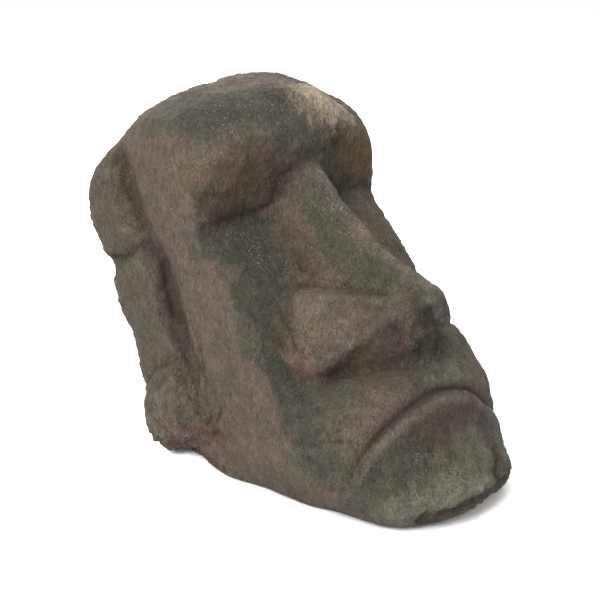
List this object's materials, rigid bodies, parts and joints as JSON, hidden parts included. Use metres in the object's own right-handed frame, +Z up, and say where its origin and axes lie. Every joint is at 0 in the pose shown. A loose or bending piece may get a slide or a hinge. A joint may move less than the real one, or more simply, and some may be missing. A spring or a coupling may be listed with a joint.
{
  "type": "moai head statue",
  "caption": "Carved stone moai head that rests on a flat underside with its face leaning back and looking up.",
  "frame": {"origin": "On the ground, below the middle of the bounding box.", "axes": "+Z is up from the ground the head rests on. The face looks towards -Y and up. +X points to the head's left side, and the ears are at the two X ends. +Y is behind the head."},
  "size_m": [0.3884, 0.5768, 0.4866],
  "materials": {
    "moai_head": "rough weathered stone, taupe brown with dark grey-green washes"
  },
  "bodies": {
    "root": {"moai_head": "moai_head"}
  },
  "joints": []
}
